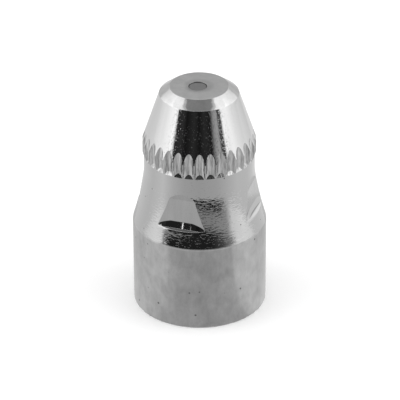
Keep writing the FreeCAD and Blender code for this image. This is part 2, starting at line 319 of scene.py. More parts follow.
@dataclass(frozen=True)
class PlateFinish:
    """Thin bright nickel over turned and milled copper, whose marks show through it, softened.

    The eye gets mirror images with grainy borders, from the plate's fine nodules, over faint marks
    of the cutter, soft stains and a few dark pits. Grain, specks and marks are drawn some ten
    times coarser than the real ones, which is as fine as they can show in the render. A squash
    over 1 draws a pattern out round the part, and one under 1 draws it out along the axis.
    """

    name: str
    colour: str = "#C4C4C4"
    roughness: float = 0.10
    grain_mm: float = 0.16
    grain_height_mm: float = 0.004
    grain_squash: float = 1.0
    speck_mm: float = 0.13
    speck_height_mm: float = 0.0
    speck_from: float = 0.6
    streak_mm: float = 0.0
    streak_depth: float = 0.0
    streak_squash: float = 0.12
    stain_depth: float = 0.0
    disc_mm: float = 0.0
    pit_mm: float = 0.0

    def nodules(self, tree: bpy.types.NodeTree, place: Socket) -> Socket:
        """Bumps of the plate: an even grain, and taller specks where the finish has them.

        Args:
            tree: Node tree of the material.
            place: Object coordinates.

        Returns:
            The bumped normal.
        """
        pressed = add_node(tree, "ShaderNodeMapping", {"Scale": (1.0, 1.0, self.grain_squash)},
                           {"Vector": place}).outputs["Vector"]
        grain = add_node(tree, "ShaderNodeTexNoise",
                         {"Scale": 1 / (self.grain_mm * MM), "Detail": 1.0}, {"Vector": pressed})
        bump = add_node(tree, "ShaderNodeBump", {"Distance": self.grain_height_mm * MM},
                        {"Height": grain.outputs["Fac"]})
        if self.speck_height_mm > 0:
            specks = add_node(tree, "ShaderNodeTexNoise",
                              {"Scale": 1 / (self.speck_mm * MM), "Detail": 1.0},
                              {"Vector": pressed})
            peaks = add_node(tree, "ShaderNodeMapRange",
                             {"From Min": self.speck_from,
                              "From Max": self.speck_from + SPECK_EDGE},
                             {"Value": specks.outputs["Fac"]})
            bump = add_node(tree, "ShaderNodeBump", {"Distance": self.speck_height_mm * MM},
                            {"Height": peaks.outputs["Result"], "Normal": bump.outputs["Normal"]})
        return bump.outputs["Normal"]

    def stains(self, tree: bpy.types.NodeTree, place: Socket) -> Socket:
        """Soft clouds, a little paler and darker than the plate.

        Args:
            tree: Node tree of the material.
            place: Object coordinates.

        Returns:
            Factor on the plate's colour.
        """
        cloud = add_node(tree, "ShaderNodeTexNoise",
                         {"Scale": 1 / (STAIN_MM * MM), "Detail": 3.0, "Distortion": 0.6},
                         {"Vector": place})
        return add_node(tree, "ShaderNodeMapRange",
                        {"From Min": 0.38, "From Max": 0.62, "To Min": 1 - self.stain_depth,
                         "To Max": 1 + self.stain_depth},
                        {"Value": cloud.outputs["Fac"]}).outputs["Result"]

    def disc(self, tree: bpy.types.NodeTree, place: Socket) -> Socket:
        """A darker disc round the axis, where the tip was faced after plating.

        Args:
            tree: Node tree of the material.
            place: Object coordinates.

        Returns:
            Factor on the plate's colour.
        """
        level = add_node(tree, "ShaderNodeVectorMath", {1: (1.0, 1.0, 0.0)}, {0: place},
                         operation="MULTIPLY")
        across = add_node(tree, "ShaderNodeVectorMath", links={0: level.outputs["Vector"]},
                          operation="LENGTH")
        return add_node(tree, "ShaderNodeMapRange",
                        {"From Min": self.disc_mm * 0.85 * MM, "From Max": self.disc_mm * 1.15 * MM,
                         "To Min": DISC_TONE}, {"Value": across.outputs["Value"]}).outputs["Result"]

    def streaks(self, tree: bpy.types.NodeTree, place: Socket) -> Socket:
        """Marks of the cutter and of handling, drawn out along the axis.

        Args:
            tree: Node tree of the material.
            place: Object coordinates.

        Returns:
            Factor on the plate's colour.
        """
        drawn = add_node(tree, "ShaderNodeMapping", {"Scale": (1.0, 1.0, self.streak_squash)},
                         {"Vector": place})
        marks = add_node(tree, "ShaderNodeTexNoise",
                         {"Scale": 1 / (self.streak_mm * MM), "Detail": 4.0, "Roughness": 0.65},
                         {"Vector": drawn.outputs["Vector"]})
        return add_node(tree, "ShaderNodeMapRange",
                        {"From Min": 0.3, "From Max": 0.7, "To Min": 1 - self.streak_depth,
                         "To Max": 1 + self.streak_depth},
                        {"Value": marks.outputs["Fac"]}).outputs["Result"]

    def pits(self, tree: bpy.types.NodeTree, place: Socket) -> Socket:
        """Small dark pits, one to each cell of a loose pattern.

        Args:
            tree: Node tree of the material.
            place: Object coordinates.

        Returns:
            Factor on the plate's colour.
        """
        cells = add_node(tree, "ShaderNodeTexVoronoi", {"Scale": 1 / (PIT_APART_MM * MM)},
                         {"Vector": place})
        return add_node(tree, "ShaderNodeMapRange",
                        {"From Min": self.pit_mm / PIT_APART_MM * 0.6,
                         "From Max": self.pit_mm / PIT_APART_MM, "To Min": PIT_TONE},
                        {"Value": cells.outputs["Distance"]}).outputs["Result"]

    def tone(self, tree: bpy.types.NodeTree, place: Socket) -> Socket | None:
        """All the patterns of the finish multiplied together, or None on a plain plate.

        Args:
            tree: Node tree of the material.
            place: Object coordinates.

        Returns:
            Factor on the plate's colour, or None.
        """
        patterns = ((self.stains, self.stain_depth), (self.disc, self.disc_mm),
                    (self.streaks, self.streak_depth), (self.pits, self.pit_mm))
        product = None
        for pattern, strength in patterns:
            if strength > 0:
                layer = pattern(tree, place)
                product = layer if product is None else add_node(
                    tree, "ShaderNodeMath", links={0: product, 1: layer},
                    operation="MULTIPLY").outputs["Value"]
        return product

    def build(self) -> bpy.types.Material:
        """Makes the material's nodes.

        Returns:
            The finished material.
        """
        material, tree = new_material(self.name)
        place = add_node(tree, "ShaderNodeTexCoord").outputs["Object"]
        shader = add_node(tree, "ShaderNodeBsdfPrincipled",
                          {"Base Color": srgb(self.colour), "Metallic": 1.0,
                           "Roughness": self.roughness}, {"Normal": self.nodules(tree, place)})
        tone = self.tone(tree, place)
        if tone is not None:
            colour = add_node(tree, "ShaderNodeVectorMath", {0: srgb(self.colour)[:3]}, {1: tone},
                              operation="MULTIPLY")
            tree.links.new(colour.outputs["Vector"], shader.inputs["Base Color"])
        add_node(tree, "ShaderNodeOutputMaterial", links={"Surface": shader.outputs["BSDF"]})
        return material


@dataclass(frozen=True)
class HafniumFinish:
    """Hafnium wire, cropped and faced.

    The eye gets a darker and duller grey than the plate's, with the fine tear marks of the facing.
    """

    name: str = "hafnium"
    colour: str = "#6E6E6E"
    roughness: float = 0.38
    grain_mm: float = 0.12
    grain_height_mm: float = 0.006

    def build(self) -> bpy.types.Material:
        """Makes the material's nodes.

        Returns:
            The finished material.
        """
        material, tree = new_material(self.name)
        place = add_node(tree, "ShaderNodeTexCoord").outputs["Object"]
        grain = add_node(tree, "ShaderNodeTexNoise",
                         {"Scale": 1 / (self.grain_mm * MM), "Detail": 3.0, "Roughness": 0.6},
                         {"Vector": place})
        bump = add_node(tree, "ShaderNodeBump",
                        {"Distance": self.grain_height_mm * MM}, {"Height": grain.outputs["Fac"]})
        shader = add_node(tree, "ShaderNodeBsdfPrincipled",
                          {"Base Color": srgb(self.colour), "Metallic": 1.0,
                           "Roughness": self.roughness}, {"Normal": bump.outputs["Normal"]})
        add_node(tree, "ShaderNodeOutputMaterial", links={"Surface": shader.outputs["BSDF"]})
        return material


# The electrode


@dataclass
class Shank:
    """Base, shoulder, flare, wrench flats and neck, in mm, as the solid has them."""

    base_radius: float
    shoulder_up: float = 8.07
    shoulder_round: float = 1.0
    seat_round: float = 0.1
    flare_radius: float = 28.5
    neck_radius: float = 4.935
    neck_foot_up: float = 13.1
    neck_round: float = 6.0
    flat_reach: float = 5.09
    flat_length: float = 2.76
    heel_rise: float = 0.5
    heel_width: float = 0.13
    heel_share_at_ends: float = 0.35
    heel_share_of_arch: float = 0.9
    heel_level: float = 1.3
    flat_lean: float = radians(4.3)
    flat_runout: float = radians(7.6)
    ledge_up: float = 9.69
    ledge_fall: float = radians(6.5)
    ledge_round: float = 0.05
    ledge_fillet: float = 0.03
    heel_round: float = 0.4
    top_up: float = 13.9
    row_gap: float = 0.03
    neck_gap: float = 0.2
    flats_doublings: int = 2
    flat_columns: int = 26
    flare_columns: int = 19
    flare_rows: int = 8
    neck_rows: int = 14

    def __post_init__(self) -> None:
        """Works out the circles of the side profile and the wrench flat's corner."""
        shoulder = Vector((self.base_radius, self.shoulder_up))
        neck_foot = Vector((self.neck_radius, self.neck_foot_up))
        chord = neck_foot - shoulder
        outward = Vector((chord.y, -chord.x)).normalized()
        rise = sqrt(self.flare_radius ** 2 - (chord.length / 2) ** 2)
        self.flare_centre = (shoulder + neck_foot) / 2 + outward * rise
        across = self.flare_centre.x - (self.base_radius - self.shoulder_round)
        reach = self.flare_radius + self.shoulder_round
        self.shoulder_centre = Vector((self.base_radius - self.shoulder_round,
                                       self.flare_centre.y - sqrt(reach ** 2 - across ** 2)))
        way = (self.flare_centre - self.shoulder_centre).normalized()
        self.flare_foot_up = (self.shoulder_centre + way * self.shoulder_round).y
        across = self.flare_centre.x - (self.neck_radius + self.neck_round)
        reach = self.flare_radius - self.neck_round
        self.neck_centre = Vector((self.neck_radius + self.neck_round,
                                   self.flare_centre.y - sqrt(reach ** 2 - across ** 2)))
        way = (self.neck_centre - self.flare_centre).normalized()
        self.flare_top_up = (self.neck_centre + way * self.neck_round).y
        self.tip_turn = acos(self.reach_at(self.ledge_up) / self.radius_at(self.ledge_up))

    def radius_at(self, up: float) -> float:
        """Radius of the turned side profile at a height.

        Args:
            up: Height over the seat.

        Returns:
            Radius in mm.
        """
        if up <= self.shoulder_centre.y:
            return self.base_radius
        if up <= self.flare_foot_up:
            over = up - self.shoulder_centre.y
            return self.shoulder_centre.x + sqrt(self.shoulder_round ** 2 - over ** 2)
        if up <= self.flare_top_up:
            under = self.flare_centre.y - up
            return self.flare_centre.x - sqrt(self.flare_radius ** 2 - under ** 2)
        if up <= self.neck_centre.y:
            under = self.neck_centre.y - up
            return self.neck_centre.x - sqrt(self.neck_round ** 2 - under ** 2)
        return self.neck_radius

    def reach_at(self, up: float) -> float:
        """Distance of a wrench flat's middle from the axis at a height.

        Args:
            up: Height over the seat.

        Returns:
            Distance in mm.
        """
        rise = up - self.ledge_up
        past = max(0.0, rise - self.flat_length)
        return self.flat_reach - (rise - past) * tan(self.flat_lean) + past * tan(self.flat_runout)

    def height_where(self, wanted: Callable[[float], bool], low: float, high: float) -> float:
        """The height between two others up to which a test holds, found by halving.

        Args:
            wanted: Test that holds at the low end and fails at the high one.
            low: Height at which it holds.
            high: Height at which it fails.

        Returns:
            Height in mm.
        """
        for _ in range(40):
            middle = (low + high) / 2
            low, high = (middle, high) if wanted(middle) else (low, middle)
        return low

    def along_profile(self, low: float, high: float, rows: int) -> Section:
        """Points of the side profile between two heights, without the last."""
        heights = [low + (high - low) * index / rows for index in range(rows)]
        return [Vector((self.radius_at(up), up)) for up in heights]

    def section(self, turn: float) -> Section:
        """The side profile at a turn away from the middle of a wrench flat.

        Args:
            turn: Turn away from the flat's middle, in radians.

        Returns:
            Points from the seat to the top of the neck.
        """
        seat = Vector((self.base_radius, 0.0))
        inner = Vector((self.base_radius - 2 * self.seat_round, 0.0))
        above = Vector((self.base_radius, 1.0))
        section = [inner] + rounded(inner, seat, above, self.seat_round, 4)
        section += self.along_profile(self.seat_round + 0.05, self.shoulder_centre.y, 8)
        section += self.along_profile(self.shoulder_centre.y, self.flare_foot_up, 6)
        section += self.flat_section(turn) if turn < self.tip_turn else self.plain_section()
        section.append(Vector((self.neck_radius, self.top_up)))
        return section

    def flat_section(self, turn: float) -> Section:
        """From the foot of the flare over the ledge, up the flat and into the neck.

        Args:
            turn: Turn away from the flat's middle, in radians.

        Returns:
            Points from the flare's foot to just under the neck's top.
        """
        arch = min(1.0, self.heel_level * (1 - (turn / self.tip_turn) ** 2))
        heel_rise = self.heel_rise * (self.heel_share_at_ends + self.heel_share_of_arch * arch)
        heel_width = self.heel_width * min(1.0, 2 * arch)

        def on_flat(up: float) -> Point:
            heel = heel_width * max(0.0, 1 - (up - self.ledge_up) / heel_rise)
            return Vector(((self.reach_at(up) + heel) / cos(turn), up))

        def under_ledge(up: float) -> bool:
            across = self.radius_at(up) * cos(turn)
            return up < self.ledge_up - (across - self.flat_reach) * tan(self.ledge_fall)

        outer_up = self.height_where(under_ledge, self.flare_foot_up, self.ledge_up)
        outer = Vector((self.radius_at(outer_up), outer_up))
        top_up = self.height_where(lambda up: self.radius_at(up) > on_flat(up).x,
                                   self.ledge_up, self.neck_foot_up)
        hold = min(self.row_gap, (top_up - self.ledge_up) / 4)
        heel_up = min(self.ledge_up + heel_rise, top_up - 2 * hold)
        runout_up = min(self.ledge_up + self.flat_length, top_up - hold)
        before = Vector((self.radius_at(outer_up - 0.3), outer_up - 0.3))
        inner = Vector((on_flat(self.ledge_up).x,
                        self.ledge_up - heel_width * tan(self.ledge_fall)))
        heel, runout, last = on_flat(heel_up), on_flat(runout_up), on_flat(top_up - hold)
        edge = rounded(before, outer, inner, self.ledge_round, 4)
        corner = rounded(edge[-1], inner, heel, self.ledge_fillet, 3)
        bend = rounded(corner[-1], heel, runout, self.heel_round, 4)
        section = self.along_profile(self.flare_foot_up, edge[0].y, self.flare_rows)
        section += edge + [edge[-1].lerp(corner[0], 0.5)] + corner
        section += [corner[-1].lerp(bend[0], share) for share in (0.04, 0.5, 0.96)] + bend
        section += straight(bend[-1].lerp(runout, 0.05), runout, 6)
        section += straight(runout, last, 4) + [last, on_flat(top_up)]
        section += self.along_profile(top_up + hold, self.top_up - self.neck_gap, self.neck_rows)
        return section

    def plain_section(self) -> Section:
        """The same number of points where there is no flat, gathered at the ledge's height.

        Returns:
            As many points as a section over the flat has.
        """
        rows = len(self.flat_section(0.0)) - self.flare_rows - self.neck_rows
        gathered = Vector((self.radius_at(self.ledge_up), self.ledge_up))
        return (self.along_profile(self.flare_foot_up, self.ledge_up, self.flare_rows)
                + [gathered.copy() for _ in range(rows)]
                + self.along_profile(self.ledge_up + self.row_gap, self.top_up - self.neck_gap,
                                     self.neck_rows))

    def turns(self) -> list[float]:
        """Turns of the columns in half a share, with one at the wrench flat's corner.

        Returns:
            Turns in radians, the first 0.
        """
        on_flat = [self.tip_turn * index / self.flat_columns for index in range(self.flat_columns)]
        rest = pi / 2 ** self.flats_doublings - self.tip_turn
        beside = [self.tip_turn + rest * index / self.flare_columns
                  for index in range(self.flare_columns + 1)]
        return on_flat + beside

    def build(self) -> bmesh.types.BMesh:
        """Makes the shank's outside, open at the seat and at the top of the neck.

        Returns:
            The mesh in mm.
        """
        turns = self.turns()
        bm = spin_sections(turns, lambda index: self.section(turns[index]))
        mirror_share(bm)
        copy_round(bm, self.flats_doublings)
        return bm


@dataclass
class Nose:
    """Fluted ring, nose cone, tip and the pin's pocket, in mm, as the solid has them."""

    tip_up: float
    neck_radius: float
    pocket_across: float
    pocket_turn: float
    foot_up: float = 14.2
    ring_foot_up: float = 14.65
    land_foot_up: float = 15.1
    nose_foot_up: float = 16.07
    nose_top_up: float = 20.655
    ring_radius: float = 5.06
    nose_radius: float = 3.53
    tip_radius: float = 2.61
    flute_depth: float = 0.32
    land_width: float = 0.077
    runout: float = radians(30)
    flute_turn: float = radians(7.45)
    land_round: float = 0.02
    edge_round: float = 0.05
    pocket_radius: float = 0.8
    pocket_break: float = 0.03
    pocket_depth: float = 3.06
    flutes_doublings: int = 5
    flute_columns: int = 8

    def __post_init__(self) -> None:
        """Works out the flute's round bottom from its depth and the land beside it."""
        self.share = pi / 2 ** self.flutes_doublings
        edge_turn = self.share - self.land_width / 2 / self.ring_radius
        depth = self.flute_depth - self.ring_radius * (1 - cos(edge_turn))
        reach = self.ring_radius * sin(edge_turn)
        self.flute_radius = (depth ** 2 + reach ** 2) / (2 * depth)
        self.flute_centre = self.ring_radius - self.flute_depth + self.flute_radius
        self.columns = self.flute_outline(edge_turn)

    def flute_outline(self, edge_turn: float) -> list[tuple[float, float]]:
        """Turn and radius of each column, from a flute's middle to the middle of a land.

        Args:
            edge_turn: Turn from a flute's middle to its edge, in radians.

        Returns:
            Turn in radians and radius in mm of each column.
        """
        half = asin(self.ring_radius * sin(edge_turn) / self.flute_radius)
        outline = []
        for index in range(self.flute_columns):
            swing = half * index / self.flute_columns
            point = Vector((self.flute_centre - self.flute_radius * cos(swing),
                            self.flute_radius * sin(swing)))
            outline.append((atan2(point.y, point.x), point.length))
        edge = Vector((self.ring_radius * cos(edge_turn), self.ring_radius * sin(edge_turn)))
        middle = Vector((self.ring_radius * cos(self.share), self.ring_radius * sin(self.share)))
        last = Vector((outline[-1][1] * cos(outline[-1][0]), outline[-1][1] * sin(outline[-1][0])))
        arc = rounded(last, edge, middle, self.land_round, 3)
        outline += [(atan2(point.y, point.x), point.length) for point in arc]
        outline.append((self.share, self.ring_radius))
        return outline

    def section(self, index: int) -> Section:
        """The side profile of one column, from the neck over the ring to the pocket's floor.

        Args:
            index: Number of the column.

        Returns:
            Points from the neck to the pocket's floor.
        """
        reach = self.columns[index][1]
        foot = Vector((self.neck_radius, self.ring_foot_up))
        if reach < self.neck_radius:
            low_up = self.ring_foot_up + (self.neck_radius - reach) / tan(self.runout)
        else:
            share = (reach - self.neck_radius) / (self.ring_radius - self.neck_radius)
            low_up = self.ring_foot_up + share * (self.land_foot_up - self.ring_foot_up)
        slope = (self.nose_top_up - self.nose_foot_up) / (self.ring_radius - self.nose_radius)
        low = Vector((reach, low_up))
        high = Vector((reach, self.nose_foot_up + (self.ring_radius - reach) * slope))
        nose = Vector((self.nose_radius, self.nose_top_up))
        tip = Vector((self.tip_radius, self.tip_up))
        mouth = Vector((self.pocket_radius + self.pocket_break, self.tip_up))
        lip = Vector((self.pocket_radius, self.tip_up - self.pocket_break))
        floor = Vector((self.pocket_radius, self.tip_up - self.pocket_depth))
        start = Vector((self.neck_radius, self.foot_up))
        section = straight(start, foot, 3)
        section += rounded(start, foot, low, self.edge_round / 2, 3)
        low_arc = rounded(foot, low, high, self.edge_round, 3)
        high_arc = rounded(low, high, nose, self.edge_round, 4)
        section += low_arc + straight(low_arc[-1], high_arc[0], 8)[1:] + high_arc
        nose_arc = rounded(high, nose, tip, self.edge_round, 4)
        section += straight(high_arc[-1], nose_arc[0], 14)[1:] + nose_arc
        tip_arc = rounded(nose, tip, mouth, self.edge_round, 4)
        section += straight(nose_arc[-1], tip_arc[0], 3)[1:] + tip_arc
        mouth_arc = rounded(tip, mouth, lip, self.pocket_break / 3, 3)
        section += straight(tip_arc[-1], mouth_arc[0], 6)[1:] + mouth_arc
        section += rounded(mouth, lip, floor, self.pocket_break / 3, 3)
        section += [lip.lerp(floor, 0.1), floor]
        return section

    def build(self) -> bmesh.types.BMesh:
        """Makes the ring and nose, open at the neck, with the pocket moved off the axis.

        Returns:
            The mesh in mm.
        """
        turns = [turn for turn, _ in self.columns]
        bm = spin_sections(turns, self.section)
        mirror_share(bm)
        copy_round(bm, self.flutes_doublings)
        bmesh.ops.rotate(bm, verts=bm.verts, cent=(0, 0, 0),
                         matrix=Matrix.Rotation(self.flute_turn, 3, "Z"))
        floor = self.tip_up - self.pocket_depth
        rim = open_rim(bm, floor, self.pocket_radius)
        bmesh.ops.contextual_create(bm, geom=rim)
        shift = Vector((-cos(self.pocket_turn), -sin(self.pocket_turn), 0)) * self.pocket_across
        for vertex in bm.verts:
            reach = vertex.co.xy.length
            if vertex.co.z > floor - MERGE_MM and reach < self.tip_radius - self.edge_round:
                room = self.tip_radius - self.edge_round - self.pocket_radius - self.pocket_break
                vertex.co += shift * min(1.0, (self.tip_radius - self.edge_round - reach) / room)
        return bm


@dataclass
class Bore:
    """The threaded mouth, the relief and the coolant bore, in mm, as the solid has them."""

    mouth_radius: float = 4.6
    crest_radius: float = 3.96
    thread_depth: float = 0.54
    pitch: float = 1.0
    thread_end_up: float = 7.6
    relief_radius: float = 4.65
    relief_round: float = 0.25
    relief_end_up: float = 8.7
    coolant_radius: float = 3.2
    drill_shoulder_up: float = 15.227
    drill_point_up: float = 17.15
    columns: int = 120
    seat_hold: float = 0.06
    crest_share: float = 0.25
    flank_share: float = 0.3125
    row_hold: float = 0.02
    edge_round: float = 0.05

    def thread_rows(self) -> list[tuple[float, float]]:
        """Height and depth of one turn's rows: crest, flank, root, flank.

        Returns:
            Height over the turn's start and depth, in mm.
        """
        crest, flank = self.crest_share, self.flank_share
        rows = [(self.row_hold, 0.0), (crest, 0.0), (crest + flank / 2, 0.5), (crest + flank, 1.0),
                (1.0 - flank, 1.0), (1.0 - flank / 2, 0.5)]
        return [(place * self.pitch, depth * self.thread_depth) for place, depth in rows]

    def section(self, index: int) -> Section:
        """The bore's profile at one column, with the thread's rows climbing with the turn.

        Args:
            index: Number of the column.

        Returns:
            Points from the seat to the drill point.
        """
        climb = self.pitch * index / self.columns
        turns = round(self.thread_end_up / self.pitch) + 2
        mouth = Vector((self.mouth_radius, 0.0))
        thread_end = Vector((self.relief_radius - self.relief_round, self.thread_end_up))
        section = [mouth + Vector((self.seat_hold, 0.0)), mouth]
        for turn in range(-1, turns):
            for place, depth in self.thread_rows():
                up = turn * self.pitch + place + climb
                lead_in = self.mouth_radius - up
                on_thread = Vector((max(self.crest_radius + depth, lead_in), up))
                section.append(mouth if up <= 0 else
                               thread_end if up >= self.thread_end_up else on_thread)
        low = Vector((self.relief_radius, self.thread_end_up))
        high = Vector((self.relief_radius, self.relief_end_up))
        coolant = Vector((self.coolant_radius, self.relief_end_up))
        shoulder = Vector((self.coolant_radius, self.drill_shoulder_up))
        point = Vector((0.0, self.drill_point_up))
        wall = Vector((self.crest_radius, self.thread_end_up))
        section += rounded(wall, low, high, self.relief_round, 5)
        section += rounded(low, high, coolant, self.relief_round, 5)
        section += straight(high - Vector((2 * self.relief_round, 0.0)), coolant, 3)
        section += rounded(high, coolant, shoulder, self.edge_round, 4)
        section += straight(coolant + Vector((0.0, 2 * self.edge_round)), shoulder, 6)
        section += rounded(coolant, shoulder, point, self.edge_round, 4)
        section += straight(shoulder.lerp(point, 0.1), point, 5) + [point]
        return section

    def build(self) -> bmesh.types.BMesh:
        """Makes the bore's wall, open at the seat.

        Returns:
            The mesh in mm.
        """
        turns = [2 * pi * index / self.columns for index in range(self.columns + 1)]
        bm = spin_sections(turns, self.section)
        bmesh.ops.remove_doubles(bm, verts=bm.verts, dist=MERGE_MM)
        return bm


@dataclass
class ElectrodeBody:
    """The plated copper body: shank, nose and bore joined into one closed skin."""

    shank: Shank
    nose: Nose
    bore: Bore
    finishes: dict[Zone, PlateFinish]
    near: float = 0.02
    pocket_wall: float = 0.2
    coolant_wall: float = 0.3

    def zone_of(self, face: bmesh.types.BMFace) -> Zone:
        """The zone that a face of the finished skin belongs to.

        Args:
            face: Face of the skin, in mm.

        Returns:
            The face's zone.
        """
        centre = face.calc_center_median()
        across, up = centre.xy.length, centre.z
        if up > self.nose.tip_up - 1e-3:
            return Zone.FACE
        if across < self.nose.pocket_radius + self.pocket_wall and up > self.bore.drill_point_up:
            return Zone.FACE
        if up < self.bore.relief_end_up + self.near \
                and across < self.bore.relief_radius + self.near:
            return Zone.BORE
        if up < self.bore.drill_point_up and across < self.bore.coolant_radius + self.coolant_wall:
            return Zone.BORE
        if up > self.nose.nose_top_up + self.nose.edge_round / 2:
            return Zone.CHAMFER
        if up > self.nose.ring_foot_up:
            slope = (self.nose.ring_radius - self.nose.nose_radius) \
                / (self.nose.nose_top_up - self.nose.nose_foot_up)
            cone = self.nose.ring_radius - (up - self.nose.nose_foot_up) * slope
            on_cone = across > cone - self.near / 5 and up > self.nose.nose_foot_up
            return Zone.NOSE if on_cone else Zone.FLUTE
        if up < self.shank.flare_foot_up:
            return Zone.BASE
        off_flat = max(abs(centre.x), abs(centre.y)) - self.shank.reach_at(up)
        if self.shank.ledge_up < up < self.shank.neck_foot_up:
            if abs(off_flat) < self.near / 10:
                return Zone.FLAT
            if across < self.shank.radius_at(up) - self.near:
                return Zone.HEEL
        return Zone.FLARE

    def build(self) -> bpy.types.Object:
        """Joins the three stretches at the neck and at the seat, and dresses the skin.

        Returns:
            The finished object.
        """
        bm = bmesh.new()
        for part in (self.shank, self.nose, self.bore):
            add_mesh(bm, part.build())
        neck = open_rim(bm, self.shank.top_up, self.shank.neck_radius) \
            + open_rim(bm, self.nose.foot_up, self.nose.neck_radius)
        bmesh.ops.bridge_loops(bm, edges=neck)
        seat = open_rim(bm, 0.0, self.shank.base_radius - 2 * self.shank.seat_round) \
            + open_rim(bm, 0.0, self.bore.mouth_radius + self.bore.seat_hold)
        bmesh.ops.bridge_loops(bm, edges=seat)
        for face in bm.faces:
            face.material_index = self.zone_of(face).value
        body = finish_object(bm, "electrode_skin")
        for zone in Zone:
            body.data.materials.append(self.finishes[zone].build())
        normals = body.modifiers.new("face_weighted_normals", "WEIGHTED_NORMAL")
        normals.mode = "FACE_AREA"
        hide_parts(BODY_NODE)
        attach(body, "root")
        return body


@dataclass
class HafniumPin:
    """The emitter pin, in mm, standing in its pocket."""

    low_up: float
    high_up: float
    centre: Vector
    radius: float = 0.8
    edge_break: float = 0.05
    columns: int = 96
    finish: HafniumFinish = field(default_factory=HafniumFinish)

    def build(self) -> bpy.types.Object:
        """Spins the pin's profile and dresses it.

        Returns:
            The finished object.
        """
        foot, head = Vector((0.0, self.low_up)), Vector((0.0, self.high_up))
        corners = [foot, Vector((self.radius - self.edge_break, self.low_up)),
                   Vector((self.radius, self.low_up + self.edge_break)),
                   Vector((self.radius, self.high_up - self.edge_break)),
                   Vector((self.radius - self.edge_break, self.high_up)), head]
        section = [foot]
        for index in range(1, len(corners) - 1):
            section += rounded(corners[index - 1], corners[index], corners[index + 1],
                               self.edge_break / 3, 3)
        section += straight(section[-1], head, 6)[1:] + [head]
        bm = bmesh.new()
        verts = [bm.verts.new((point.x, 0.0, point.y)) for point in section]
        edges = [bm.edges.new(pair) for pair in zip(verts, verts[1:])]
        bmesh.ops.spin(bm, geom=verts + edges, cent=(0, 0, 0), axis=(0, 0, 1), dvec=(0, 0, 0),
                       angle=2 * pi, steps=self.columns, use_merge=True, use_duplicate=False,
                       use_normal_flip=False)
        bmesh.ops.translate(bm, verts=bm.verts, vec=(self.centre.x, self.centre.y, 0.0))
        pin = finish_object(bm, "hafnium_pin")
        pin.data.materials.append(self.finish.build())
        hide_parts(PIN_NODE)
        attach(pin, "root")
        return pin


# The studio


@dataclass(frozen=True)
class PaintedCardGlow:
    """A glowing card that only mirror images show, painted brighter and darker round its turn.

    The eye gets painted reflections: the pale and dark upright bands that a row of softboxes leaves
    on a turned part.
    """

    name: str
    stops: Stops

    def build(self) -> bpy.types.Material:
        """Makes the material's nodes.

        Returns:
            The finished material.
        """
        material, tree = new_material(self.name)
        place = add_node(tree, "ShaderNodeTexCoord").outputs["Object"]
        turn = add_node(tree, "ShaderNodeTexGradient", links={"Vector": place},
                        gradient_type="RADIAL")
        bands = add_node(tree, "ShaderNodeValToRGB", links={"Fac": turn.outputs["Fac"]})
        peak = max(radiance for _, radiance in self.stops)
        ramp = bands.color_ramp.elements
        ramp.remove(ramp[-1])
        for index, (angle, radiance) in enumerate(self.stops):
            share = angle / 360 + 0.5
            stop = ramp.new(share) if index else ramp[0]
            stop.position = share
            stop.color = (*[radiance / peak] * 3, 1.0)
        # Painted light: the card glows by itself, at the listed brightness round its turn.
        shine = add_node(tree, "ShaderNodeEmission", {"Strength": peak},
                         {"Color": bands.outputs["Color"]})
        add_node(tree, "ShaderNodeOutputMaterial", links={"Surface": shine.outputs["Emission"]})
        return material


@dataclass(frozen=True)
class PaintedGlintGlow:
    """Bare even glow: the eye gets a painted glint, a thin bright line across the dark image in a
    flat's heel.
    """

    name: str
    radiance: float

    def build(self) -> bpy.types.Material:
        """Makes the material's nodes.

        Returns:
            The finished material.
        """
        material, tree = new_material(self.name)
        shine = add_node(tree, "ShaderNodeEmission", {"Strength": self.radiance})
        add_node(tree, "ShaderNodeOutputMaterial", links={"Surface": shine.outputs["Emission"]})
        return material


@dataclass(frozen=True)
class FloorFinish:
    """Pale matt paper: the eye gets an even white ground that keeps the part's soft shadow."""

    name: str = "pale_paper"
    colour: str = "#FAFAFA"

    def build(self) -> bpy.types.Material:
        """Makes the material's nodes.

        Returns:
            The finished material.
        """
        material, tree = new_material(self.name)
        paper = add_node(tree, "ShaderNodeBsdfDiffuse", {"Color": srgb(self.colour)})
        add_node(tree, "ShaderNodeOutputMaterial", links={"Surface": paper.outputs["BSDF"]})
        return material


@dataclass(frozen=True)
class Ring:
    """A ring of glowing cards round the part, all of one upright section, painted with light and
    shade round its turn.
    """

    name: str
    profile: tuple[tuple[float, float], ...]
    stops: Stops


@dataclass(frozen=True)
class Slit:
    """A thin upright glowing strip just in front of the dark cards, seen in the flat heels alone as
    a painted glint.
    """

    name: str
    degrees_right: float
    width_mm: float
    radiance: float


@dataclass(frozen=True)
class Softbox:
    """A soft lamp that lights the floor, and that mirror images leave to the cards."""

    name: str
    degrees_right: float
    degrees_up: float = 50.0
    away_mm: float = 900.0
    size_mm: float = 600.0
    watts: float = 1.6
